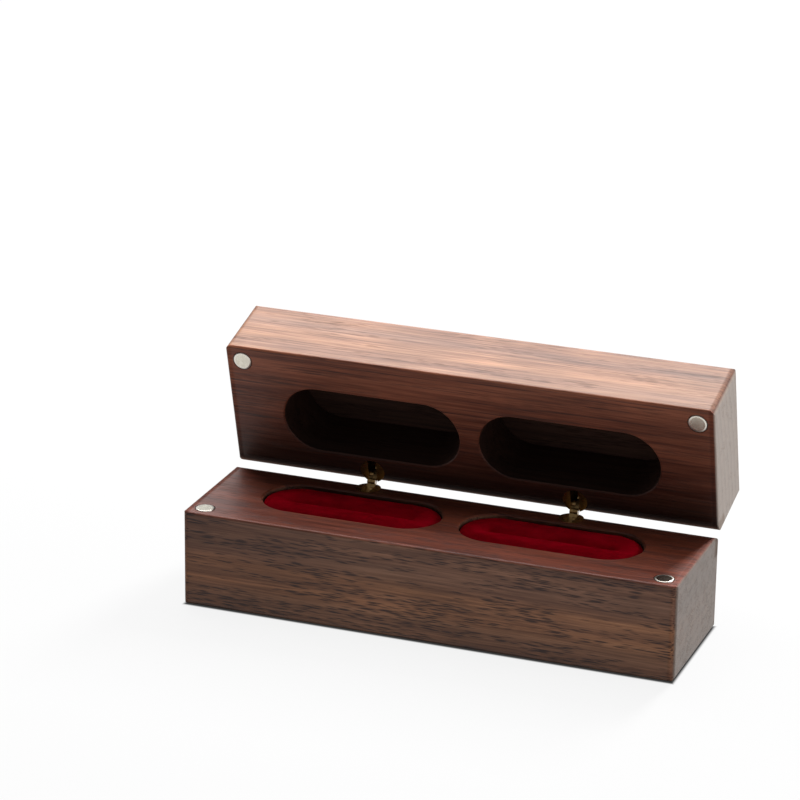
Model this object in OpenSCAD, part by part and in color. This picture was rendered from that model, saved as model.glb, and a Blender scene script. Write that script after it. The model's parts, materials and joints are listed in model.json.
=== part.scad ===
// Double ring display box: two solid walnut blocks on concealed barrel hinges, with velvet ring
// pads in the base, deep recesses in the lid and a magnet catch at each front corner.
// X runs along the box, the front is at -Y, and the base stands on Z = 0. Sizes are millimetres.

/* [Box] */
// Length of both blocks, along X
box_l = 100; // [94:1:130]
// Depth of both blocks, from front to rear
box_d = 29.2; // [26:0.2:36]
// Height of the base block
base_h = 19.6; // [18:0.2:26]
// Height of the lid block
lid_h = 15.8; // [14.6:0.2:22]
// Space between the two mating faces when the box is shut
shut_gap = 0.2; // [0.15:0.05:0.4]

/* [Edges] */
// Radius of the rear mating edges, which roll past each other
hinge_edge_r = 3.6; // [3:0.1:4.2]
// Radius of the upright corner edges
corner_r = 1.2; // [0.8:0.1:2.5]
// Radius of the front and end edges of the mating faces
mating_edge_r = 0.5; // [0.3:0.1:1]
// Radius of the edges under the base and on top of the lid
outer_edge_r = 1.2; // [0.5:0.1:2]

/* [Pockets] */
// Length of each round-ended pocket
pocket_l = 36.7; // [30:0.1:38]
// Width of each pocket
pocket_w = 14.4; // [12:0.1:16]
// Distance between the centres of the two pockets
pocket_pitch = 40.9; // [39:0.1:46]
// Wood left between the hinge barrels and the pockets
barrel_wall = 0.8; // [0.6:0.1:2]
// Depth of the base pockets, which hold the pads
base_pocket_depth = 15.4; // [13:0.1:16]
// Depth of the lid recesses, which clear the ring heads
lid_pocket_depth = 12.2; // [10:0.1:13]
// Bevel round the rim of each pocket
pocket_bevel = 0.3; // [0.1:0.1:0.5]

/* [Ring pads] */
// Depth of the pad tops below the mating face
pad_below = 0.2; // [0.2:0.1:2]
// Space between a pad and the wall of its pocket
pad_clearance = 0.1; // [0.05:0.05:0.3]
// Thickness of the velvet
velvet_t = 0.6; // [0.3:0.1:1]
// Radius of the padded top edge
pad_edge_r = 1.2; // [1.2:0.1:3]
// Length of the slit that grips a ring
slit_l = 25; // [20:0.5:28]
// Opening between the velvet lips of the slit
slit_w = 0.6; // [0.3:0.1:1.2]
// Depth of the slit below the top of the pad
slit_depth = 12.5; // [8:0.5:13]

/* [Magnets] */
// Diameter of the magnets
magnet_d = 4; // [3:0.5:5]
// Thickness of the magnets
magnet_t = 2; // [1:0.5:3]
// Distance from a magnet's centre to the end of the box
magnet_end = 3.4; // [3.1:0.1:5]
// Distance from a magnet's centre to the front of the box
magnet_front = 3.2; // [3.1:0.1:5]
// Height that a magnet stands proud of its mating face
magnet_proud = 0.05; // [0:0.01:0.06]
// Bevel round a magnet's rim
magnet_bevel = 0.2; // [0.1:0.05:0.3]
// Glue space round and under a magnet or a hinge barrel
glue_space = 0.03; // [0.02:0.01:0.05]

/* [Hinges] */
// Angle between the mating faces as modelled, 0 is shut
open_angle = 75; // [0:1:95]
// Widest angle that the guide grooves let the lid open to
open_max = 95; // [75:1:95]
// Distance between the two hinges
hinge_pitch = 42.2; // [36:0.1:46]
// Distance from the rear face in to the line that the lid turns about
pivot_in = 0.9; // [0.8:0.1:1]
// Distance from the rear face in to the axis of the barrels
barrel_in = 3.6; // [3.5:0.1:3.7]
// Diameter of the hinge barrels
barrel_d = 5; // [4.8:0.1:5.2]
// Length of each hinge barrel
barrel_l = 8; // [6.5:0.5:10]
// Bevel round the buried end of a barrel
barrel_bevel = 0.4; // [0.2:0.1:0.8]
// Thickness of each hinge arm
arm_t = 0.8; // [0.6:0.1:0.9]
// Width of the bars of an arm
arm_w = 0.8; // [0.6:0.1:0.9]
// Diameter of the round eyes of an arm
eye_d = 1.3; // [1.1:0.1:1.3]
// Diameter of the hinge pins
pin_d = 0.7; // [0.6:0.1:0.8]
// Depth of each arm's pivot pin below the parting plane
pivot_depth = 1; // [0.9:0.05:1.05]
// Depth of each arm's guide pin below the parting plane, measured shut
guide_depth = 2.9; // [2.6:0.1:3.2]
// Running clearance round a pin, on the radius
pin_clearance = 0.04; // [0.02:0.01:0.08]
// Clearance beside each arm
arm_clearance = 0.05; // [0.03:0.01:0.1]
// Distance from the middle of a hinge to the buried end of a pivot pin
pin_reach = 1.7; // [1.4:0.1:1.9]
// Distance from the middle of a hinge to the end of a guide pin
guide_reach = 1.5; // [1.2:0.1:1.6]

/* [Hidden] */
$fn = 64;

// How far a cutter runs past the face that it cuts
past = 1;
left = -1;
right = 1;

walnut = [0.42, 0.27, 0.20];
red_velvet = [0.42, 0.01, 0.05];
grey_foam = [0.35, 0.35, 0.36];
nickel = [0.78, 0.78, 0.79];
brass = [0.80, 0.63, 0.33];

// The pockets lie in front of the hinge barrels, with a wall of wood between them
pocket_y = box_d / 2 - barrel_in - barrel_d / 2 - barrel_wall - pocket_w / 2;

// The line that the lid turns about lies on the parting plane, halfway between the mating faces
pivot_y = box_d / 2 - pivot_in;
pivot_z = base_h + shut_gap / 2;

// Pin centres of the shut hinge as [y, z] from the pivot line, in the leaf that carries the pin.
// The two pivot pins, the centre pin and the pivot line are the corners of a rhombus, so each
// arm turns as far as the lid does and the centre pin stays on the bisector of the two leaves.
pivot_reach = (barrel_in - pivot_in) / 2;
pivot_pin = [-pivot_reach, pivot_depth];
centre_pin = [-2 * pivot_reach, 0];
guide_pin = [-3 * pivot_reach, guide_depth];

// A guide pin keeps its arm's turn, so its path in the other leaf is an arc of the rhombus side
guide_arc_r = norm(pivot_pin);
guide_arc_centre = guide_pin - centre_pin + pivot_pin;
guide_arc_start = 180 + atan2(pivot_depth, pivot_reach);

// The arms lie side by side in the slot, one on each side of the barrels' middle
slot_w = 2 * arm_t + 3 * arm_clearance;
slot_depth = guide_depth + eye_d / 2 + 2 * arm_clearance;
arm_inner = arm_clearance / 2;
arm_outer = arm_inner + arm_t;
groove_reach = guide_reach + arm_clearance;

// A pad is its foam and the velvet over it, and fills its pocket up to pad_below
pad_l = pocket_l - 2 * pad_clearance;
pad_w = pocket_w - 2 * pad_clearance;
pad_h = base_pocket_depth - pad_below;
foam_h = pad_h - velvet_t;

// ---- Placing ----
// Both leaves of the box are drawn with the mating face on Z = 0, the wood above it and the
// hinge edge at +Y. These two carry what is drawn to the base and to the open lid.

module on_base() {
    translate([0, 0, base_h]) mirror([0, 0, 1]) children();
}

module on_lid() {
    turned_about_pivot(0, 0, open_angle)
        translate([0, 0, pivot_z + shut_gap / 2]) children();
}

// Turns the children the way the lid opens, about a line that is [y, z] from the pivot line
module turned_about_pivot(y, z, angle) {
    at = [0, pivot_y + y, pivot_z + z];
    translate(at) rotate([-angle, 0, 0]) translate(-at) children();
}

// Carries an [y, z] outline on the pivot line of a leaf to a plate between two X positions
module plate(x_from, x_to) {
    translate([x_from, pivot_y, -shut_gap / 2]) rotate([90, 0, 90])
        linear_extrude(x_to - x_from) children();
}

module at_pocket(side) {
    translate([side * pocket_pitch / 2, pocket_y, 0]) children();
}

module at_hinge(side) {
    translate([side * hinge_pitch / 2, 0, 0]) children();
}

module at_magnet(side) {
    translate([side * (box_l / 2 - magnet_end), -box_d / 2 + magnet_front, 0]) children();
}

// ---- Outlines ----

// Rectangle from the origin, with a radius for each corner, anticlockwise from the origin
module rounded_rect(size, radii) {
    corners = [[0, 0], [size[0], 0], size, [0, size[1]]];
    difference() {
        square(size);
        for (i = [0:3])
            translate(corners[i]) rotate(90 * i) corner_waste(radii[i]);
    }
}

// What rounding the corner at the origin takes off
module corner_waste(r) {
    difference() {
        translate([-past, -past]) square(r + past);
        translate([r, r]) circle(r);
    }
}

// Straight bar of an arm between two pins
module bar(from, to) {
    run = to - from;
    translate(from) rotate(atan2(run[1], run[0]))
        translate([0, -arm_w / 2]) square([norm(run), arm_w]);
}

// Round-ended block standing on Z = 0
module stadium(l, w, h) {
    for (side = [left, right])
        translate([side * (l - w) / 2, 0, 0]) cylinder(d = w, h = h);
    translate([-(l - w) / 2, -w / 2, 0]) cube([l - w, w, h]);
}

// The same block with a radius round its top edge
module padded_stadium(l, w, h, r) {
    for (side = [left, right])
        translate([side * (l - w) / 2, 0, 0]) rotate_extrude()
            intersection() {
                translate([-w / 2, 0]) rounded_rect([w, h], [0, 0, r, r]);
                square([w, h]);
            }
    translate([-(l - w) / 2, -w / 2, 0]) rotate([90, 0, 90])
        linear_extrude(l - w) rounded_rect([w, h], [0, 0, r, r]);
}

// ---- Wooden blocks ----

// Block with every edge rounded: the outlines from the end, the front and above, crossed
module rounded_block(h) {
    intersection() {
        translate([-box_l / 2, -box_d / 2, 0]) rotate([90, 0, 90]) linear_extrude(box_l)
            rounded_rect([box_d, h], [mating_edge_r, hinge_edge_r, outer_edge_r, outer_edge_r]);
        translate([-box_l / 2, box_d / 2, 0]) rotate([90, 0, 0]) linear_extrude(box_d)
            rounded_rect([box_l, h], [mating_edge_r, mating_edge_r, outer_edge_r, outer_edge_r]);
        translate([-box_l / 2, -box_d / 2, 0]) linear_extrude(h)
            rounded_rect([box_l, box_d], [corner_r, corner_r, corner_r, corner_r]);
    }
}

// Cutter for a pocket of the mating face, with its bevelled rim
module pocket_cutter(depth) {
    half_run = (pocket_l - pocket_w) / 2;
    rim_r = pocket_w / 2 + pocket_bevel;
    stadium(pocket_l, pocket_w, depth);
    for (side = [left, right])
        translate([side * half_run, 0, 0]) cylinder(r1 = rim_r, r2 = pocket_w / 2, h = pocket_bevel);
    rotate([90, 0, 90]) translate([0, 0, -half_run]) linear_extrude(2 * half_run)
        polygon([[-rim_r, 0], [rim_r, 0], [rim_r - pocket_bevel, pocket_bevel],
                 [pocket_bevel - rim_r, pocket_bevel]]);
    translate([0, 0, -past]) stadium(pocket_l + 2 * pocket_bevel, 2 * rim_r, past);
}

// Blind hole for a magnet or a barrel
module blind_hole(d, depth) {
    translate([0, 0, -past])
        cylinder(d = d + 2 * glue_space, h = depth + glue_space + past);
}

module leaf(h, pocket_depth) {
    difference() {
        rounded_block(h);
        for (side = [left, right]) {
            at_pocket(side) pocket_cutter(pocket_depth);
            at_magnet(side) blind_hole(magnet_d, magnet_t - magnet_proud);
            at_hinge(side) at_barrel() blind_hole(barrel_d, barrel_l);
        }
    }
}

module base_block() {
    color(walnut) on_base() leaf(base_h, base_pocket_depth);
}

module lid_block() {
    color(walnut) on_lid() leaf(lid_h, lid_pocket_depth);
}

// ---- Ring pads ----

// Slot for the slit, grown all round by the velvet where it cuts the foam
module slit_cutter(grow) {
    bottom = pad_h - slit_depth - grow;
    translate([0, 0, bottom])
        stadium(slit_l + 2 * grow, slit_w + 2 * grow, pad_h + past - bottom);
}

// Foam block with its slit, carried on below the pocket floor where it hollows out the velvet
module foam_shape(below) {
    difference() {
        translate([0, 0, -below])
            padded_stadium(pad_l - 2 * velvet_t, pad_w - 2 * velvet_t, foam_h + below,
                           pad_edge_r - velvet_t);
        slit_cutter(velvet_t);
    }
}

module pad_foam(side) {
    color(grey_foam) translate([0, 0, base_h - base_pocket_depth]) at_pocket(side) foam_shape(0);
}

// Velvet stretched over the foam and tucked into the slit
module pad_cover(side) {
    color(red_velvet) translate([0, 0, base_h - base_pocket_depth]) at_pocket(side)
        difference() {
            padded_stadium(pad_l, pad_w, pad_h, pad_edge_r);
            foam_shape(past);
            slit_cutter(0);
        }
}

module left_pad_foam() pad_foam(left);
module right_pad_foam() pad_foam(right);
module left_pad_cover() pad_cover(left);
module right_pad_cover() pad_cover(right);

// ---- Magnets ----

// Disc with a bevelled rim, seated in its hole and a little proud of the mating face
module magnet(side) {
    body_t = magnet_t - magnet_bevel;
    color(nickel) at_magnet(side) translate([0, 0, -magnet_proud]) {
        cylinder(d1 = magnet_d - 2 * magnet_bevel, d2 = magnet_d, h = magnet_bevel);
        translate([0, 0, magnet_bevel]) cylinder(d = magnet_d, h = body_t);
    }
}

module left_base_magnet() on_base() magnet(left);
module right_base_magnet() on_base() magnet(right);
module left_lid_magnet() on_lid() magnet(left);
module right_lid_magnet() on_lid() magnet(right);

// ---- Hinges ----
// Each hinge is two barrels joined by two crossed arms. An arm turns on a pivot pin in its own
// barrel, shares the centre pin with the other arm, and its tail pin slides in a curved groove
// of the other barrel. The base arm lies on the +X side of the slot, the lid arm on the -X side.

module at_barrel() {
    translate([0, box_d / 2 - barrel_in, 0]) children();
}

// Curved groove for the guide pin of the other leaf's arm
module guide_groove() {
    half_w = pin_d / 2 + pin_clearance;
    far = 3 * guide_arc_r;
    function along(angle) = [cos(angle), sin(angle)];
    angles = [for (i = [0:3]) guide_arc_start + open_max * i / 3];
    translate(guide_arc_centre) {
        intersection() {
            difference() {
                circle(guide_arc_r + half_w);
                circle(guide_arc_r - half_w);
            }
            polygon(concat([[0, 0]], [for (angle = angles) far * along(angle)]));
        }
        translate(guide_arc_r * along(angles[0])) circle(half_w);
        translate(guide_arc_r * along(angles[3])) circle(half_w);
    }
}

// Barrel drawn for the base: pivot pin hole in the +X cheek, guide groove in the -X cheek
module barrel() {
    difference() {
        at_barrel() {
            cylinder(d = barrel_d, h = barrel_l - barrel_bevel);
            translate([0, 0, barrel_l - barrel_bevel])
                cylinder(d1 = barrel_d, d2 = barrel_d - 2 * barrel_bevel, h = barrel_bevel);
        }
        at_barrel() translate([-slot_w / 2, -barrel_d, -past])
            cube([slot_w, 2 * barrel_d, slot_depth + past]);
        plate(0, pin_reach) translate(pivot_pin) circle(d = pin_d);
        plate(-groove_reach, 0) guide_groove();
    }
}

// Pivot pin in the +X cheek of a barrel, reaching through its arm
module pivot_pin_shape() {
    plate(arm_inner, pin_reach) translate(pivot_pin) circle(d = pin_d);
}

module base_barrel(side) {
    color(brass) on_base() at_hinge(side) barrel();
}

module lid_barrel(side) {
    color(brass) on_lid() at_hinge(side) mirror([1, 0, 0]) barrel();
}

module base_arm_pin(side) {
    color(nickel) on_base() at_hinge(side) pivot_pin_shape();
}

module lid_arm_pin(side) {
    color(nickel) on_lid() at_hinge(side) mirror([1, 0, 0]) pivot_pin_shape();
}

// The arms are drawn on the parting plane of the shut box, with [y, z] from the pivot line
module shut_plate(x_from, x_to) {
    translate([x_from, pivot_y, pivot_z]) rotate([90, 0, 90])
        linear_extrude(x_to - x_from) children();
}

function under(point) = [point[0], -point[1]];

// Outline of the base arm, shut: pivot eye, centre eye and the tail up in the lid's barrel
module arm_outline(centre_hole_d) {
    pivot = under(pivot_pin);
    difference() {
        union() {
            for (pin = [pivot, centre_pin, guide_pin])
                translate(pin) circle(d = eye_d);
            bar(pivot, centre_pin);
            bar(centre_pin, guide_pin);
        }
        translate(pivot) circle(d = pin_d + 2 * pin_clearance);
        translate(centre_pin) circle(d = centre_hole_d);
        translate(guide_pin) circle(d = pin_d);
    }
}

// Puts what is drawn as the shut base arm where the base arm stands
module as_base_arm(side) {
    at_hinge(side) turned_about_pivot(-pivot_reach, -pivot_depth, open_angle) children();
}

// The lid arm is the base arm turned over, and it keeps its upright stance as the lid opens
module as_lid_arm(side) {
    at_hinge(side) turned_about_pivot(0, 0, open_angle)
        turned_about_pivot(-pivot_reach, pivot_depth, -open_angle)
            translate([0, 0, pivot_z]) rotate([0, 180, 0]) translate([0, 0, -pivot_z]) children();
}

module base_arm(side) {
    color(brass) as_base_arm(side)
        shut_plate(arm_inner, arm_outer) arm_outline(pin_d);
}

module lid_arm(side) {
    color(brass) as_lid_arm(side)
        shut_plate(arm_inner, arm_outer) arm_outline(pin_d + 2 * pin_clearance);
}

module guide_pin_shape() {
    shut_plate(arm_inner, guide_reach) translate(guide_pin) circle(d = pin_d);
}

module base_arm_guide(side) {
    color(nickel) as_base_arm(side) guide_pin_shape();
}

module lid_arm_guide(side) {
    color(nickel) as_lid_arm(side) guide_pin_shape();
}

// Centre pin, fast in the base arm and running in the lid arm
module hinge_centre_pin(side) {
    color(nickel) as_base_arm(side)
        shut_plate(-arm_outer, arm_outer) translate(centre_pin) circle(d = pin_d);
}

module left_base_barrel() base_barrel(left);
module right_base_barrel() base_barrel(right);
module left_lid_barrel() lid_barrel(left);
module right_lid_barrel() lid_barrel(right);
module left_base_arm_pin() base_arm_pin(left);
module right_base_arm_pin() base_arm_pin(right);
module left_lid_arm_pin() lid_arm_pin(left);
module right_lid_arm_pin() lid_arm_pin(right);
module left_base_arm() base_arm(left);
module right_base_arm() base_arm(right);
module left_lid_arm() lid_arm(left);
module right_lid_arm() lid_arm(right);
module left_base_arm_guide() base_arm_guide(left);
module right_base_arm_guide() base_arm_guide(right);
module left_lid_arm_guide() lid_arm_guide(left);
module right_lid_arm_guide() lid_arm_guide(right);
module left_centre_pin() hinge_centre_pin(left);
module right_centre_pin() hinge_centre_pin(right);

base_block();
left_pad_foam();
right_pad_foam();
left_pad_cover();
right_pad_cover();
left_base_magnet();
right_base_magnet();
left_base_barrel();
right_base_barrel();
left_base_arm_pin();
right_base_arm_pin();
lid_block();
left_lid_magnet();
right_lid_magnet();
left_lid_barrel();
right_lid_barrel();
left_lid_arm_pin();
right_lid_arm_pin();
left_base_arm();
right_base_arm();
left_base_arm_guide();
right_base_arm_guide();
left_centre_pin();
right_centre_pin();
left_lid_arm();
right_lid_arm();
left_lid_arm_guide();
right_lid_arm_guide();
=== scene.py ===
import json
import math
from contextlib import contextmanager

import bpy
from mathutils import Matrix, Vector


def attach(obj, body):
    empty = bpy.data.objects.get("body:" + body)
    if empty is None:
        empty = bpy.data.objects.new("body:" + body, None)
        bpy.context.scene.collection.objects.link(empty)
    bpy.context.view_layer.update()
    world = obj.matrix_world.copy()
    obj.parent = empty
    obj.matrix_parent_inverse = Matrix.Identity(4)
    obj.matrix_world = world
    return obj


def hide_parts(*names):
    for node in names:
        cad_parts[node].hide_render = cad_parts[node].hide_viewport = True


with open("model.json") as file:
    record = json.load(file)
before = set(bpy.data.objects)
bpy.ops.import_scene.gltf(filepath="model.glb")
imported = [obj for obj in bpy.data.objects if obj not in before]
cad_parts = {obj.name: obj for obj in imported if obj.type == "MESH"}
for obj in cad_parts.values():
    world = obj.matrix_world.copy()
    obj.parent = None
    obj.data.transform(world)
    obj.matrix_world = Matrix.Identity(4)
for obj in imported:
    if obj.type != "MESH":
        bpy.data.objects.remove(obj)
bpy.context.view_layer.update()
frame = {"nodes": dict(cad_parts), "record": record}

# ---- Sizes ----
# Millimetres, the same as the frame's. The front is at -Y, and the base stands on Z = 0.

MM = 0.001
LEFT, RIGHT = -1, 1

BOX_L, BOX_D = 100, 29.2
HALF_L, HALF_D = BOX_L / 2, BOX_D / 2
BASE_H, LID_H = 19.6, 15.8
SHUT_GAP = 0.2
PARTING = BASE_H + SHUT_GAP / 2
LID_FOOT = BASE_H + SHUT_GAP
OPEN_ANGLE = math.radians(75)
PIVOT_IN = 0.9
PIVOT = Vector((0, HALF_D - PIVOT_IN, PARTING))  # the line that the lid turns about

POCKET_L, POCKET_W = 36.7, 14.4
POCKET_X, POCKET_Y = 20.45, 0.5
POCKET_FLOOR = BASE_H - 15.4

MAGNET_R = 2
MAGNET_X = HALF_L - 3.4
MAGNET_Y = 3.2 - HALF_D
MAGNET_RIM = 0.6

PAD_CLEARANCE, PAD_BELOW = 0.1, 0.2
PAD_L, PAD_W = POCKET_L - 2 * PAD_CLEARANCE, POCKET_W - 2 * PAD_CLEARANCE
PAD_H = BASE_H - PAD_BELOW - POCKET_FLOOR
PAD_EDGE_R = 0.8
SLIT_L, SLIT_W, SLIT_DEPTH = 25, 0.6, 12.5
LIP_R = 1.3
VELVET_T = 0.6


# ---- Bench tools: small steps that the making below repeats ----

def clear_selection():
    if bpy.context.mode != "OBJECT":
        bpy.ops.object.mode_set(mode="OBJECT")
    bpy.ops.object.select_all(action="DESELECT")


def work_on(piece):
    clear_selection()
    piece.select_set(True)
    bpy.context.view_layer.objects.active = piece


SELECT_MODES = {
    "vertices": (True, False, False),
    "edges": (False, True, False),
    "polygons": (False, False, True),
}


@contextmanager
def shaping(piece, kind, test):
    """Holds a piece in edit mode with only those of its faces, edges or vertices selected that pass the
    test, which is given the item and its middle."""
    work_on(piece)
    mesh = piece.data
    bpy.context.tool_settings.mesh_select_mode = SELECT_MODES[kind]
    for each in (mesh.vertices, mesh.edges, mesh.polygons):
        each.foreach_set("select", [False] * len(each))
    for item in getattr(mesh, kind):
        if kind == "vertices":
            middle = item.co
        elif kind == "edges":
            middle = sum((mesh.vertices[v].co for v in item.vertices), Vector()) / 2
        else:
            middle = item.center
        item.select = bool(test(item, middle))
    bpy.ops.object.mode_set(mode="EDIT")
    yield
    bpy.ops.object.mode_set(mode="OBJECT")


def finish_modifier(piece, kind, name, **settings):
    work_on(piece)
    made = piece.modifiers.new(name, kind)
    for key, value in settings.items():
        setattr(made, key, value)
    bpy.ops.object.modifier_apply(modifier=made.name)


# ---- Camera ----

def place_camera():
    azimuth, elevation = math.radians(20.33), math.radians(19.80)
    roll = math.radians(0.81)
    distance = 683.2 * MM
    aim_right, aim_up = -9.37 * MM, 42.04 * MM
    back = Vector((
        math.sin(azimuth) * math.cos(elevation),
        -math.cos(azimuth) * math.cos(elevation),
        math.sin(elevation),
    ))
    level = Vector((math.cos(azimuth), math.sin(azimuth), 0))
    above = back.cross(level)
    right = level * math.cos(roll) + above * math.sin(roll)
    up = above * math.cos(roll) - level * math.sin(roll)
    place = back * distance + right * aim_right + up * aim_up
    data = bpy.data.cameras.new("camera")
    data.sensor_width = 36
    data.lens = 157.34
    data.clip_start, data.clip_end = 0.05, 20
    camera = bpy.data.objects.new("camera", data)
    bpy.context.scene.collection.objects.link(camera)
    turn = Matrix((right, up, back)).transposed().to_4x4()
    camera.matrix_world = Matrix.Translation(place) @ turn
    bpy.context.scene.camera = camera


place_camera()
bpy.context.scene.view_settings.view_transform = "Standard"


# ---- Shader tools ----

def new_material(name):
    material = bpy.data.materials.new(name)
    material.use_nodes = True
    tree = material.node_tree
    tree.nodes.clear()
    return material, tree


def set_or_link(tree, socket, value):
    """Links a socket to another, or gives it a constant. A colour is written as three numbers."""
    if isinstance(value, bpy.types.NodeSocket):
        tree.links.new(value, socket)
    elif socket.type == "RGBA":
        socket.default_value = (*value, 1)
    else:
        socket.default_value = value


def add(tree, kind, settings=None, **inputs):
    """Adds a node, sets its own settings, and sets or links its input sockets by name or number."""
    node = tree.nodes.new("ShaderNode" + kind)
    for key, value in (settings or {}).items():
        setattr(node, key, value)
    for key, value in inputs.items():
        set_or_link(tree, node.inputs[int(key[1:]) if key[0] == "_" else key.replace("_", " ")], value)
    return node


def maths(tree, operation, *values):
    node = add(tree, "Math", {"operation": operation})
    for socket, value in zip(node.inputs, values):
        set_or_link(tree, socket, value)
    return node.outputs[0]


def plus(tree, first, second):
    return maths(tree, "ADD", first, second)


def minus(tree, first, second):
    return maths(tree, "SUBTRACT", first, second)


def times(tree, first, second):
    return maths(tree, "MULTIPLY", first, second)


def hypotenuse(tree, first, second):
    return maths(tree, "SQRT", plus(tree, times(tree, first, first), times(tree, second, second)))


def rescale(tree, value, low, high, to_low=0.0, to_high=1.0, smooth=True):
    """Turns low to high into to_low to to_high, and holds still outside them."""
    node = add(tree, "MapRange", {"interpolation_type": "SMOOTHSTEP" if smooth else "LINEAR"}, _0=value)
    for socket, number in zip(node.inputs[1:5], (low, high, to_low, to_high)):
        socket.default_value = number
    return node.outputs[0]


def near(tree, distance, full, none, most=1.0):
    """A mask that is at its most up to the first distance and has faded away at the second."""
    return rescale(tree, distance, full, none, most, 0)


def mix_colour(tree, share, first, second, blend="MIX"):
    node = add(tree, "Mix", {"data_type": "RGBA", "blend_type": blend}, _0=share, _6=first, _7=second)
    return node.outputs[2]


def tinted(tree, colour, tint, share=1.0):
    """A colour multiplied by another, all over or by a share."""
    return mix_colour(tree, share, colour, tint, "MULTIPLY")


def grey(tree, level):
    return add(tree, "CombineColor", _0=level, _1=level, _2=level).outputs[0]


def ramp(tree, value, *stops):
    node = add(tree, "ValToRGB", _0=value)
    elements = node.color_ramp.elements
    while len(elements) < len(stops):
        elements.new(0.5)
    for element, (place, colour) in zip(elements, stops):
        element.position = place
        element.color = (*colour, 1)
    return node.outputs[0]


def surface(tree, shader):
    add(tree, "OutputMaterial", Surface=shader.outputs[0])


def mapped(tree, source, scale=(1, 1, 1), turn=(0, 0, 0), shift=(0, 0, 0)):
    return add(tree, "Mapping", Vector=source, Location=shift, Rotation=turn, Scale=scale).outputs[0]


def millimetres(tree, turn=(0, 0, 0), shift=(0, 0, 0)):
    """Object coordinates in millimetres, turned and then shifted."""
    return mapped(tree, add(tree, "TexCoord").outputs["Object"], (1 / MM,) * 3, turn, shift)


def split(tree, place):
    return add(tree, "SeparateXYZ", _0=place).outputs


def noise(tree, source, fineness, detail=2.0, roughness=0.5, turn=(0, 0, 0), shift=(0, 0, 0), output=0):
    """Noise with its own fineness along each axis."""
    return add(tree, "TexNoise", Vector=mapped(tree, source, fineness, turn, shift), Scale=1, Detail=detail,
               Roughness=roughness).outputs[output]


def bump(tree, strength, depth, height, **below):
    """Relief of a surface, up to its depth in millimetres, laid over another one if that is given."""
    return add(tree, "Bump", Strength=strength, Distance=depth * MM, Height=height, **below).outputs[0]


# Patterns on both blocks and on their magnets are laid out on the shut box, where the lid is turned back
SHUT_BASE = {"turn": (0, 0, 0), "shift": (0, 0, 0)}
SHUT_LID = {"turn": (OPEN_ANGLE, 0, 0), "shift": tuple(PIVOT - Matrix.Rotation(OPEN_ANGLE, 3, "X") @ PIVOT)}


# ---- Walnut ----

# How far in from its face each tone of the wood, painted light and painted shade among them, reaches: in full
# to the first value, not past the second
FRONT_SKIN = (0.1, 0.4)
END_SKIN = (0.05, 0.4)
ROUNDED_END = (0.9, 1.4)
FOOT_SHADE = (0.1, 1.5)
HINGE_EDGE_IN, HINGE_EDGE_DEEP = (2.0, 3.8), (3.7, 4.7)
MATING_SKIN = 0.2  # in full to here, and not past the board's own mate_depth

BANDS_FADE = 20.6  # how far behind the front the growth bands are at their faintest
RING_CENTRE = (0, 12, -95)  # the heart of the tree, which the rings on the ends run round
RING_PITCH = 2.2


def wandering_grain(tree, wood):
    """The fibres wander a little on their way along the block."""
    drift = noise(tree, wood, (0.02, 0.06, 0.06), output="Color")
    drift = mapped(tree, drift, (0, 0.8, 0.8), shift=(0, -0.4, -0.4))
    return add(tree, "VectorMath", {"operation": "ADD"}, _0=wood, _1=drift).outputs[0]


def pore_marks(tree, grain, crowding):
    """Short dark dashes along the grain, in clusters. On the ends they are dots."""
    crowd = noise(tree, grain, (0.055, 0.45, 0.6), 3, 0.6, shift=(3, 11, 5))
    dashes = add(tree, "TexVoronoi", Vector=mapped(tree, grain, (0.3, 3.0, 3.3)), Scale=1).outputs["Distance"]
    size = rescale(tree, crowd, *crowding, 0.13, 0.6)
    return rescale(tree, minus(tree, size, dashes), 0, 0.32, smooth=False)


def inside_pockets(tree, x, y, depth, pocket_shade_from, reach):
    """A mask of the two round-ended pockets, from where their painted shade starts down to where they end."""
    half_run = (POCKET_L - POCKET_W) / 2
    along = maths(tree, "ABSOLUTE", minus(tree, maths(tree, "ABSOLUTE", x), POCKET_X))
    along = maths(tree, "MAXIMUM", minus(tree, along, half_run), 0.0)
    outwards = hypotenuse(tree, along, minus(tree, y, POCKET_Y))
    within = near(tree, outwards, POCKET_W / 2 + 0.02, POCKET_W / 2 + 0.1)
    within = times(tree, within, rescale(tree, depth, pocket_shade_from, pocket_shade_from + 0.8))
    return times(tree, within, near(tree, depth, reach, reach + 0.5))


def sawn_colour(tree, grain, from_front, streak, fine, blotch, board):
    """Long streaks of four tones, growth bands that follow the height, and broad soft patches."""
    shade = plus(tree, times(tree, streak, 0.55), times(tree, fine, 0.45))
    colour = ramp(tree, shade, (0.36, board["dark"]), (0.46, board["mid"]), (0.55, board["warm"]),
                  (0.66, board["light"]))
    layer = rescale(tree, split(tree, grain)[2], *board["height"], smooth=False)
    bands = ramp(tree, layer, *board["bands"])
    colour = tinted(tree, colour, bands, rescale(tree, from_front, 0, BANDS_FADE, 1.0, 0.3))
    return tinted(tree, colour, grey(tree, rescale(tree, blotch, 0.35, 0.65, 0.9, 1.1)))


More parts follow.
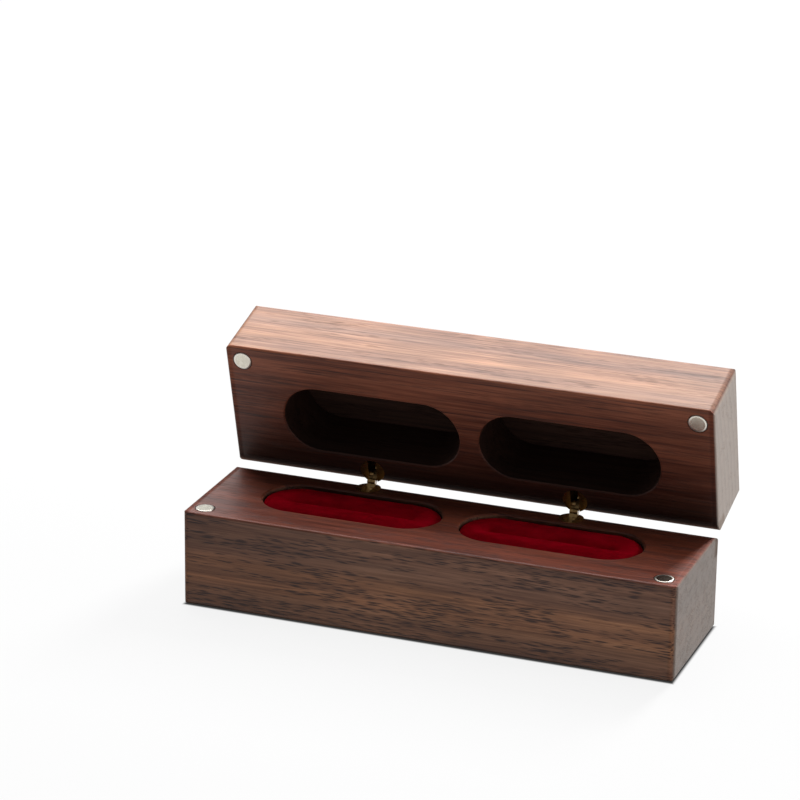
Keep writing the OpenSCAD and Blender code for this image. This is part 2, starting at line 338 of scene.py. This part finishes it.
def face_tones(tree, colour, grain, x, from_front, mate, board):
    """The front is lighter, with painted light, and painted shade runs along it from end to end. The mating
    face gets darker and redder towards the rear, with painted shade and painted red bounce light, and dark
    threads are strongest on it.
    """
    # Painted light on the front face, with painted shade varying it from end to end
    along = ramp(tree, rescale(tree, x, -HALF_L, HALF_L, smooth=False), *board["along"])
    colour = tinted(tree, colour, tinted(tree, along, board["front"]), near(tree, from_front, *FRONT_SKIN))
    # Painted shade and painted red bounce light on the mating face, darker towards the rear
    mating_shade = ramp(tree, rescale(tree, from_front, 0, BOX_D, smooth=False), *board["mate"])
    colour = tinted(tree, colour, mating_shade, mate)
    thread = noise(tree, grain, (0.035, 2.6, 4.2), 4, 0.65, shift=(5, 8, 2))
    share = rescale(tree, mate, 0, 1, 0.25, board["mate_threads"], smooth=False)
    return mix_colour(tree, times(tree, rescale(tree, thread, 0.52, 0.66), share), colour, board["thread"])


def end_grain_and_painted_sheen(tree, colour, grain, blotch, x, end, board):
    """End grain with growth rings, made pale and grey by painted sheen, paler at the right end than at the
    left.
    """
    from_heart = mapped(tree, grain, (0, 1, 1), shift=tuple(-part for part in RING_CENTRE))
    arc = add(tree, "VectorMath", {"operation": "LENGTH"}, _0=from_heart).outputs["Value"]
    arc = plus(tree, arc, times(tree, blotch, 0.5))
    ring = maths(tree, "FRACT", maths(tree, "DIVIDE", arc, RING_PITCH))
    ring = ramp(tree, ring, (0.0, (0.89,) * 3), (0.1, (1.03,) * 3), (0.55, (1.0,) * 3), (0.94, (0.87,) * 3),
                (1.0, (0.89,) * 3))
    # Painted sheen, stronger on the right end
    share = rescale(tree, x, 1 - HALF_L, HALF_L - 1, 0.45, 0.78, smooth=False)
    return mix_colour(tree, times(tree, end, share), colour, tinted(tree, ring, board["end"]))


def walnut(name, shut, offset, board):
    """Oiled walnut sawn along X. The offset says which stretch of the plank the block was cut from."""
    material, tree = new_material(name)
    block = millimetres(tree, **shut)
    x, y, z = split(tree, block)
    grain = wandering_grain(tree, mapped(tree, block, shift=offset))
    streak = noise(tree, grain, (0.02, 0.5, 0.7), 5, 0.62)
    fine = noise(tree, grain, (0.06, 2.4, 2.8), 3, 0.6)
    fibre = noise(tree, grain, (0.2, 8, 8))
    blotch = noise(tree, grain, (0.05, 0.14, 0.14), shift=(9, 4, 1))
    pore = pore_marks(tree, grain, board["crowd"])

    from_front, from_rear = plus(tree, y, HALF_D), minus(tree, HALF_D, y)
    from_end = minus(tree, HALF_L, maths(tree, "ABSOLUTE", x))
    from_parting = maths(tree, "ABSOLUTE", minus(tree, z, PARTING))
    mate = near(tree, from_parting, MATING_SKIN, board["mate_depth"])
    end = near(tree, from_end, *END_SKIN)
    corner = times(tree, near(tree, from_end, *ROUNDED_END), rescale(tree, from_end, 0.05, 0.2))
    hinge_edge = near(tree, from_parting, *HINGE_EDGE_DEEP)
    hinge_edge = times(tree, near(tree, from_rear, *HINGE_EDGE_IN), hinge_edge)
    pocket = inside_pockets(tree, x, y, from_parting, board["pocket_shade_from"], board["reach"])

    colour = sawn_colour(tree, grain, from_front, streak, fine, blotch, board)
    colour = face_tones(tree, colour, grain, x, from_front, mate, board)
    # Painted shade on the rounded edges at the ends, strongest at the right, to dull their highlight
    painted_edge_shade = times(tree, corner, rescale(tree, x, -1, 1, 0, board["edge_shade_right"]))
    colour = tinted(tree, colour, (0.6, 0.5, 0.5), painted_edge_shade)
    # Painted shade along the bottom of the block, where it meets the floor
    colour = tinted(tree, colour, (0.4, 0.36, 0.36), near(tree, z, *FOOT_SHADE, 0.8))
    colour = end_grain_and_painted_sheen(tree, colour, grain, blotch, x, end, board)
    speckle = times(tree, pore, rescale(tree, end, 0, 1, board["pores"], 0.13))
    speckle = times(tree, speckle, rescale(tree, mate, 0, 1, 1.0, 0.6))
    colour = mix_colour(tree, speckle, colour, board["pore"])
    colour = tinted(tree, colour, grey(tree, rescale(tree, fibre, 0.3, 0.7, 0.91, 1.09)))
    # Painted shade inside the pockets and recesses
    colour = tinted(tree, colour, board["pocket_shade"], pocket)

    rough = rescale(tree, fine, 0.3, 0.7, 0.36, 0.46)
    for where, more in ((pore, 0.18), (pocket, 0.3), (corner, 0.35), (hinge_edge, 0.5)):
        rough = plus(tree, rough, times(tree, where, more))
    relief = bump(tree, 0.22, 0.06, minus(tree, times(tree, fibre, 0.25), pore))
    surface(tree, add(tree, "BsdfPrincipled", Base_Color=colour, Roughness=rough, IOR=1.5, Normal=relief,
                      Specular_Tint=(0.4, 0.4, 0.4)))
    return material


BASE_BOARD = {
    "dark": (0.084, 0.038, 0.023),
    "mid": (0.141, 0.067, 0.039),
    "warm": (0.202, 0.099, 0.056),
    "light": (0.264, 0.137, 0.080),
    "thread": (0.055, 0.030, 0.024),
    "mate_threads": 0.3,
    "pore": (0.026, 0.019, 0.020),
    "pores": 0.84,
    "crowd": (0.38, 0.56),
    "height": (0, BASE_H),
    "bands": ((0.0, (0.98, 0.92, 0.93)), (0.14, (0.88, 0.84, 0.88)), (0.24, (1.0, 0.95, 0.94)),
              (0.33, (1.40, 1.27, 1.14)), (0.43, (1.12, 1.04, 1.0)), (0.52, (1.42, 1.31, 1.18)),
              (0.62, (0.98, 0.95, 1.02)), (0.74, (0.80, 0.80, 0.92)), (0.86, (0.94, 0.92, 1.02)),
              (1.0, (0.86, 0.85, 0.98))),
    # Painted light: how much lighter the front face is made, and from end to end its painted shade
    "front": (1.17, 1.17, 1.15),
    "along": ((0.0, (0.80, 0.77, 0.76)), (0.2, (0.90, 0.88, 0.87)), (0.45, (1.08, 1.08, 1.05)),
              (1.0, (1.08, 1.08, 1.07))),
    # Painted shade on the rounded right edges
    "edge_shade_right": 0.1,
    "mate_depth": 0.5,
    # Painted shade and painted red bounce light on the mating face, from front to rear
    "mate": ((0.0, (1.18, 0.67, 0.61)), (0.5, (1.04, 0.53, 0.45)), (1.0, (0.88, 0.44, 0.37))),
    # End grain tone with painted sheen: pale and grey
    "end": (0.145, 0.120, 0.101),
    # Painted shade in the pockets: where it starts, how deep it reaches, and its colour
    "pocket_shade_from": 0.6,
    "reach": 16.5,
    "pocket_shade": (0.2, 0.16, 0.15),
}
LID_BOARD = {
    "dark": (0.092, 0.038, 0.025),
    "mid": (0.154, 0.072, 0.047),
    "warm": (0.212, 0.104, 0.067),
    "light": (0.270, 0.143, 0.096),
    "thread": (0.032, 0.018, 0.016),
    "mate_threads": 0.75,
    "pore": (0.034, 0.018, 0.016),
    "pores": 0.42,
    "crowd": (0.44, 0.62),
    "height": (LID_FOOT, LID_FOOT + LID_H),
    "bands": ((0.0, (1.0, 0.98, 0.92)), (0.18, (0.92, 0.92, 0.95)), (0.36, (1.12, 1.07, 0.98)),
              (0.54, (1.05, 1.01, 0.95)), (0.68, (0.86, 0.89, 0.96)), (0.84, (1.06, 1.02, 0.96)),
              (1.0, (0.86, 0.87, 0.94))),
    # Painted light: the lid's front, which faces up to the lamps when open, made much lighter; painted shade
    # darkens its right end
    "front": (1.72, 1.76, 1.86),
    "along": ((0.0, (1.04, 1.12, 1.08)), (0.5, (1.05, 1.12, 1.07)), (0.8, (0.87, 0.89, 0.82)),
              (1.0, (0.82, 0.85, 0.79))),
    # Painted shade on the lid's rounded right edges
    "edge_shade_right": 0.6,
    "mate_depth": 0.9,
    # Painted shade on the lid's mating face, darkest towards the hinge
    "mate": ((0.0, (1.15, 0.74, 0.62)), (0.4, (0.92, 0.58, 0.50)), (0.62, (0.6, 0.38, 0.36)),
             (0.85, (0.25, 0.21, 0.22)), (1.0, (0.14, 0.13, 0.15))),
    # End grain tone with painted sheen, much paler than the base's
    "end": (0.378, 0.322, 0.279),
    # Painted shade in the lid's recesses: where it starts, how deep it reaches, and its colour
    "pocket_shade_from": -0.8,
    "reach": 13.5,
    "pocket_shade": (0.22, 0.20, 0.20),
}

base_wood = walnut("base_walnut", SHUT_BASE, (0, 0, 0), BASE_BOARD)
lid_wood = walnut("lid_walnut", SHUT_LID, (200, 0, 0), LID_BOARD)


# ---- Metals ----

def metal(tree, colour, rough, **relief):
    surface(tree, add(tree, "BsdfPrincipled", Base_Color=colour, Metallic=1.0, Roughness=rough, **relief))


def nickel_plate(name, shut, tone, rim_painted_light):
    """Nickel plate on a magnet, hazy in the middle, with a rim that is rougher and rounded. Its tone and its
    rim's colour are painted light.
    """
    material, tree = new_material(name)
    place = millimetres(tree, **shut)
    x, y, _ = split(tree, place)
    sideways = minus(tree, maths(tree, "ABSOLUTE", x), MAGNET_X)
    radius = hypotenuse(tree, sideways, minus(tree, y, MAGNET_Y))
    rim_from = MAGNET_R - MAGNET_RIM
    rim = rescale(tree, radius, rim_from, rim_from + 0.25)
    haze = noise(tree, place, (0.9, 0.9, 0.9), 3, 0.6)
    scratch = noise(tree, place, (3, 18, 18), 3, 0.7, turn=(0, 0, 0.5))
    colour = ramp(tree, haze, (0.3, (0.48, 0.455, 0.385)), (0.7, (0.59, 0.565, 0.48)))
    # Painted light: tone lightens or darkens the whole plate, and the rim takes a colour of its own, a
    # painted highlight on the lid's magnets
    colour = mix_colour(tree, rim, tinted(tree, colour, (tone,) * 3), rim_painted_light)
    rough = plus(tree, rescale(tree, scratch, 0.3, 0.75, 0.16, 0.26), times(tree, rim, 0.2))
    fall = maths(tree, "MAXIMUM", minus(tree, radius, rim_from + 0.05), 0.0)
    rounded = bump(tree, 1.0, 1.0, times(tree, times(tree, fall, fall), -0.9))
    metal(tree, colour, rough, Normal=bump(tree, 0.04, 0.01, scratch, Normal=rounded))
    return material


def turned_brass():
    material, tree = new_material("turned_brass")
    place = millimetres(tree)
    tarnish = noise(tree, place, (0.7, 0.7, 0.7), 4, 0.6)
    brushed = noise(tree, place, (1.6, 1.6, 22.4), 3, 0.6)
    colour = ramp(tree, tarnish, (0.3, (0.26, 0.16, 0.065)), (0.7, (0.46, 0.30, 0.13)))
    rough = rescale(tree, brushed, 0.3, 0.7, 0.24, 0.42)
    metal(tree, colour, rough, Normal=bump(tree, 0.2, 0.02, brushed))
    return material


def drawn_steel():
    material, tree = new_material("drawn_steel")
    drawn = noise(tree, millimetres(tree), (0.84, 16.8, 16.8), 3, 0.6)
    colour = ramp(tree, drawn, (0.3, (0.42, 0.42, 0.43)), (0.7, (0.58, 0.58, 0.59)))
    metal(tree, colour, rescale(tree, drawn, 0.3, 0.7, 0.22, 0.4))
    return material


# Lit and shaded copies of one nickel: the lid's magnets painted lighter, with a painted highlight on their
# rims
base_nickel = nickel_plate("base_nickel", SHUT_BASE, 0.93, (0.46, 0.43, 0.39))
lid_nickel = nickel_plate("lid_nickel", SHUT_LID, 1.12, (0.76, 0.72, 0.65))
brass = turned_brass()
steel = drawn_steel()


# ---- Velvet and foam ----

def red_velvet():
    """Crimson pile with a soft nap, with painted shade that darkens it towards the front of the pad."""
    material, tree = new_material("red_velvet")
    place = millimetres(tree)
    nap = noise(tree, place, (0.22, 0.5, 0.5), 3, 0.6)
    pile = noise(tree, place, (9, 9, 9), 2, 0.7)
    colour = ramp(tree, nap, (0.3, (0.215, 0.0008, 0.0055)), (0.5, (0.290, 0.0011, 0.0080)),
                  (0.72, (0.370, 0.0016, 0.0110)))
    pad_front = POCKET_Y - PAD_W / 2
    # Painted shade: the velvet darker towards the front of the pad
    brushed = rescale(tree, split(tree, place)[1], pad_front + 0.2, POCKET_Y + 0.5, 0.55, 1.0)
    light = times(tree, rescale(tree, pile, 0.3, 0.7, 0.72, 1.2), brushed)
    colour = tinted(tree, colour, grey(tree, light))
    relief = bump(tree, 0.6, 0.12, pile)
    surface(tree, add(tree, "BsdfPrincipled", Base_Color=colour, Roughness=1.0, IOR=1.02, Normal=relief,
                      Sheen_Weight=0.25, Sheen_Roughness=0.4, Sheen_Tint=(0.6, 0.0, 0.02)))
    return material


def grey_foam():
    material, tree = new_material("grey_foam")
    place = millimetres(tree)
    cells = add(tree, "TexVoronoi", Vector=place, Scale=3.2).outputs["Distance"]
    blotch = noise(tree, place, (0.5, 0.5, 0.5), 3)
    colour = ramp(tree, blotch, (0.3, (0.10, 0.10, 0.105)), (0.7, (0.16, 0.16, 0.165)))
    colour = tinted(tree, colour, grey(tree, rescale(tree, cells, 0.15, 0.6, 0.55, 1.0)))
    relief = bump(tree, 0.8, 0.2, cells)
    surface(tree, add(tree, "BsdfPrincipled", Base_Color=colour, Roughness=0.95, Normal=relief))
    return material


velvet = red_velvet()
foam = grey_foam()


# ---- Finishes on the pieces of the frame ----

FINISHES = {
    "base_walnut": base_wood,
    "lid_walnut": lid_wood,
    "nickel_plate": base_nickel,
    "brass": brass,
    "steel_pin": steel,
}
SLOT_OF = {part["node"]: part["material_slot"] for part in frame["record"]["subparts"]}
for name, piece in frame["nodes"].items():
    if SLOT_OF[name] in FINISHES:
        piece.material_slots[0].material = FINISHES[SLOT_OF[name]]
    if name in ("left_lid_magnet", "right_lid_magnet"):
        piece.material_slots[0].material = lid_nickel


# ---- Ring pads ----
# A pad is made on the bench a hundred times its size, because cloth this small doesn't settle

BENCH = 100
BENCH_MM = BENCH * MM
SKIN_STEPS = 36  # corners of the circle that becomes the two round ends
WALL_STEPS = 5
TOP_RISE = (0.5, 0.35, 0.15, 0.0, -0.2)  # of the crown, ring by ring from the shoulder to the slit
SLIT_STEPS = (0.12, 0.22, 0.33, 0.33)
QUARTER_TURN = [math.radians(18 * step) for step in range(6)]
SETTLE_STEPS = 20
PUFF_ROOM, PUFF_LIMIT = 0.35, 0.4  # how much lower the velvet starts, and how far the foam may press it
FOAM_GAP, FOAM_BELOW = 0.03, 0.4  # between foam and velvet all round, and more of it over the top


def fill_of(piece):
    """The many-cornered face that closes a skin: the next one to be inset or pushed down."""
    return max(piece.data.polygons, key=lambda face: len(face.vertices))


def inset_fill(piece, inward, upward):
    fill = fill_of(piece).index
    with shaping(piece, "polygons", lambda face, middle: face.index == fill):
        bpy.ops.mesh.inset(thickness=inward, depth=upward, use_even_offset=True, use_boundary=True)


def stretch_fill(piece, reach, outward):
    """Moves the round ends of the closing face further out along X."""
    rim = set(fill_of(piece).vertices)
    for side in (LEFT, RIGHT):
        with shaping(piece, "vertices", lambda vertex, at: vertex.index in rim and at.x * side > reach):
            bpy.ops.transform.translate(value=(side * outward, 0, 0))


def extrude_up(height):
    bpy.ops.mesh.extrude_region_move(TRANSFORM_OT_translate={"value": (0, 0, height)})


def pad_skin(name, length, width, height, edge_r, slit_length, slit_width, slit_bottom, lip_r, crown):
    """Skin of a pad standing on Z = 0, open below: upright walls, a round shoulder, the top,
    and the slit with its lips rolled down into it."""
    half_run = (length - width) / 2
    clear_selection()
    bpy.ops.mesh.primitive_circle_add(vertices=SKIN_STEPS, radius=width / 2, fill_type="NOTHING")
    skin = bpy.context.active_object
    skin.name = name
    with shaping(skin, "vertices", lambda vertex, at: True):
        bpy.ops.transform.rotate(value=math.pi / SKIN_STEPS, orient_axis="Z", center_override=(0, 0, 0))
    for side in (LEFT, RIGHT):
        with shaping(skin, "vertices", lambda vertex, at: at.x * side > 0):
            bpy.ops.transform.translate(value=(side * half_run, 0, 0))

    # Steps along the two straight sides, up the walls, then over the shoulder
    with shaping(skin, "edges", lambda edge, at: abs(at.x) < half_run / 2):
        bpy.ops.mesh.subdivide(number_cuts=SKIN_STEPS // 2 - 2)
        bpy.ops.mesh.select_all(action="SELECT")
        for _ in range(WALL_STEPS):
            extrude_up((height - edge_r) / WALL_STEPS)
        bpy.ops.mesh.edge_face_add()
    for low, high in zip(QUARTER_TURN, QUARTER_TURN[1:]):
        inset_fill(skin, edge_r * (math.cos(low) - math.cos(high)), edge_r * (math.sin(high) - math.sin(low)))

    # Across the top, a little crowned, while the ends reach out to the length of the slit
    flat = (width - slit_width) / 2 - edge_r - lip_r
    reach_out = (slit_length - slit_width) / 2 - half_run
    for rise in TOP_RISE:
        inset_fill(skin, flat / len(TOP_RISE), rise * crown)
        stretch_fill(skin, half_run, reach_out / len(TOP_RISE))

    # Over the lips and down the slit
    for low, high in zip(QUARTER_TURN, QUARTER_TURN[1:]):
        inset_fill(skin, lip_r * (math.sin(high) - math.sin(low)), lip_r * (math.cos(high) - math.cos(low)))
    depth = height + sum(TOP_RISE) * crown - lip_r - slit_bottom
    for share in SLIT_STEPS:
        fill = fill_of(skin).index
        with shaping(skin, "polygons", lambda face, middle: face.index == fill):
            extrude_up(-share * depth)
    with shaping(skin, "polygons", lambda face, middle: True):
        bpy.ops.mesh.normals_make_consistent(inside=False)
    return skin


def puff_up(skin, held_below, slit_half, lip_top):
    """Lets the foam press the velvet up between its walls and its slit, no further than the limit."""
    before = [vertex.co.copy() for vertex in skin.data.vertices]
    held = skin.vertex_groups.new(name="held")
    for vertex in skin.data.vertices:
        wall = vertex.co.z < held_below
        lip = abs(vertex.co.y) < slit_half and vertex.co.z < lip_top
        held.add([vertex.index], 1.0 if wall or lip else 0.0, "REPLACE")
    work_on(skin)
    cloth = skin.modifiers.new("cloth", "CLOTH")
    settings = cloth.settings
    settings.quality = 8
    settings.mass = 0.2
    settings.tension_stiffness = settings.compression_stiffness = 18
    settings.shear_stiffness = 8
    settings.bending_stiffness = 2
    settings.use_pressure = True
    settings.uniform_pressure_force = 2.2
    settings.vertex_group_mass = "held"
    settings.effector_weights.gravity = 0
    cloth.collision_settings.use_collision = False
    cloth.collision_settings.use_self_collision = False
    cloth.point_cache.frame_start, cloth.point_cache.frame_end = 1, SETTLE_STEPS
    for step in range(1, SETTLE_STEPS + 1):
        bpy.context.scene.frame_set(step)
    bpy.ops.object.modifier_apply(modifier="cloth")
    bpy.context.scene.frame_set(1)
    limit = PUFF_LIMIT * BENCH_MM
    for vertex, start in zip(skin.data.vertices, before):
        move = vertex.co - start
        if move.length > limit:
            vertex.co = start + move * (limit / move.length)
    skin.vertex_groups.clear()


def bring_down(piece):
    """From bench size to its real size."""
    with shaping(piece, "vertices", lambda vertex, at: True):
        bpy.ops.transform.resize(value=(1 / BENCH,) * 3, center_override=(0, 0, 0))


def copy_to(piece, name, place, turn=0.0):
    """A copy of a finished piece with its own mesh, turned and moved within the mesh."""
    work_on(piece)
    bpy.ops.object.duplicate()
    copy = bpy.context.active_object
    copy.name = name
    with shaping(copy, "vertices", lambda vertex, at: True):
        if turn:
            bpy.ops.transform.rotate(value=turn, orient_axis="Z", center_override=(0, 0, 0))
        bpy.ops.transform.translate(value=place)
    return copy


def make_velvet():
    b = BENCH_MM
    height = (PAD_H - PUFF_ROOM) * b
    skin = pad_skin("velvet", PAD_L * b, PAD_W * b, height, PAD_EDGE_R * b, SLIT_L * b, SLIT_W * b,
                    height - SLIT_DEPTH * b, LIP_R * b, crown=0.12 * b)
    with shaping(skin, "vertices", lambda vertex, at: at.z > height - 0.3 * PAD_EDGE_R * b):
        bpy.ops.transform.vertex_random(offset=0.04 * b, uniform=1.0, normal=0.0, seed=4)
    puff_up(skin, height - 0.9 * PAD_EDGE_R * b, (SLIT_W / 2 + 0.3 * LIP_R) * b, height - 0.5 * LIP_R * b)
    finish_modifier(skin, "SUBSURF", "smooth", levels=2, render_levels=2)
    finish_modifier(skin, "SOLIDIFY", "thickness", thickness=VELVET_T * b, offset=-1, use_even_offset=False)
    skin.data.shade_smooth()
    bring_down(skin)
    return skin


def make_foam():
    b = BENCH_MM
    inset = VELVET_T + FOAM_GAP
    length, width = (PAD_L - 2 * inset) * b, (PAD_W - 2 * inset) * b
    height = (PAD_H - inset - FOAM_BELOW) * b
    core = pad_skin("foam", length, width, height, (PAD_EDGE_R - inset) * b, (SLIT_L + 2 * inset) * b,
                    (SLIT_W + 2 * inset) * b, (PAD_H - SLIT_DEPTH - inset) * b, (LIP_R - inset) * b,
                    crown=0.05 * b)
    with shaping(core, "edges", lambda edge, at: at.z < 1e-6):
        bpy.ops.mesh.edge_face_add()
        bpy.ops.mesh.select_all(action="SELECT")
        bpy.ops.mesh.normals_make_consistent(inside=False)
    work_on(core)
    bpy.ops.object.shade_smooth_by_angle(angle=math.radians(40))
    bring_down(core)
    return core


velvet_skin, foam_core = make_velvet(), make_foam()
for side, word, turn in ((LEFT, "left", 0.0), (RIGHT, "right", math.pi)):
    place = (side * POCKET_X * MM, POCKET_Y * MM, POCKET_FLOOR * MM)
    for master, kind, node, finish, fill in ((velvet_skin, "velvet", "cover", velvet, 0.9),
                                             (foam_core, "foam", "foam", foam, 1.0)):
        piece = copy_to(master, f"{word}_ring_pad_{kind}", place, turn)
        piece.data.materials.clear()
        piece.data.materials.append(finish)
        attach(piece, "base")
        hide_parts(f"{word}_pad_{node}")
for master in (velvet_skin, foam_core):
    bpy.data.objects.remove(master)


# ---- Floor, backdrop and lamps ----

def seen_rays(tree):
    """The rays that look straight at the background or see it in a mirror, and the straight ones alone."""
    rays = add(tree, "LightPath").outputs
    mirrored = maths(tree, "MAXIMUM", rays["Is Glossy Ray"], rays["Is Transmission Ray"])
    return maths(tree, "MAXIMUM", rays["Is Camera Ray"], mirrored), rays["Is Camera Ray"]


def pale_floor():
    """White where it is seen or mirrored, with a soft shadow under the box. Towards the wood it sends up an
    even glow, dimmer on the side that the box shades."""
    material, tree = new_material("pale_floor")
    seen, _ = seen_rays(tree)
    x, y, _ = split(tree, millimetres(tree))
    shaded = times(tree, rescale(tree, x, 30, 80), rescale(tree, y, -60, 0))
    over_x = minus(tree, maths(tree, "ABSOLUTE", x), HALF_L)
    over_y = minus(tree, maths(tree, "ABSOLUTE", y), HALF_D)
    clear = maths(tree, "MAXIMUM", over_x, over_y)
    level = rescale(tree, shaded, 0, 1, 0.87, 0.2, smooth=False)
    level = times(tree, level, rescale(tree, clear, -1, 3, 0.1, 1))
    bounce = add(tree, "Emission", Color=(1, 1, 1), Strength=level)
    paint = add(tree, "BsdfDiffuse", Color=(0.5, 0.5, 0.5))
    glow = add(tree, "Emission", Color=(1, 1, 1), Strength=rescale(tree, clear, -0.4, 0.4, 0.04, 1))
    white = add(tree, "MixShader", _0=0.88, _1=paint.outputs[0], _2=glow.outputs[0])
    surface(tree, add(tree, "MixShader", _0=seen, _1=bounce.outputs[0], _2=white.outputs[0]))
    return material


def lay_floor():
    clear_selection()
    bpy.ops.mesh.primitive_plane_add(size=6, location=(0, 0, 0))
    floor = bpy.context.active_object
    floor.name = "floor"
    floor.data.materials.append(pale_floor())


def fill_room():
    """A white room where it is seen or mirrored, darker towards the front in mirrors, and dim as a light."""
    world = bpy.data.worlds.new("room")
    bpy.context.scene.world = world
    world.use_nodes = True
    tree = world.node_tree
    tree.nodes.clear()
    seen, straight = seen_rays(tree)
    dim = add(tree, "Background", Color=(0.9, 0.95, 1.0), Strength=0.06)
    rearward = split(tree, add(tree, "TexCoord").outputs["Generated"])[1]
    level = maths(tree, "MAXIMUM", straight, rescale(tree, rearward, -0.5, 0.3, 0.25, 1.0))
    white = add(tree, "Background", Color=(1, 1, 1), Strength=level)
    both = add(tree, "MixShader", _0=seen, _1=dim.outputs[0], _2=white.outputs[0])
    add(tree, "OutputWorld", Surface=both.outputs[0])


BOX_MIDDLE = Vector((0, 0.005, 0.025))


def hang_lamp(name, place, size, watts):
    """A rectangular lamp that shines at the middle of the box. Its place and size are metres."""
    data = bpy.data.lights.new(name, "AREA")
    data.shape = "RECTANGLE"
    data.size, data.size_y = size
    data.energy = watts
    lamp = bpy.data.objects.new(name, data)
    bpy.context.scene.collection.objects.link(lamp)
    lamp.location = place
    lamp.rotation_euler = (Vector(place) - BOX_MIDDLE).to_track_quat("Z", "Y").to_euler()


lay_floor()
fill_room()
hang_lamp("back_softbox", (-0.31, 0.53, 0.66), (0.8, 0.35), 3.9)
hang_lamp("rim_softbox", (0.13, 0.60, 0.61), (0.14, 0.3), 11.0)
hang_lamp("top_softbox", (-0.08, 0.17, 0.64), (0.5, 0.3), 2.6)
hang_lamp("side_softbox", (0.76, 0.08, 0.24), (0.3, 0.3), 2.8)
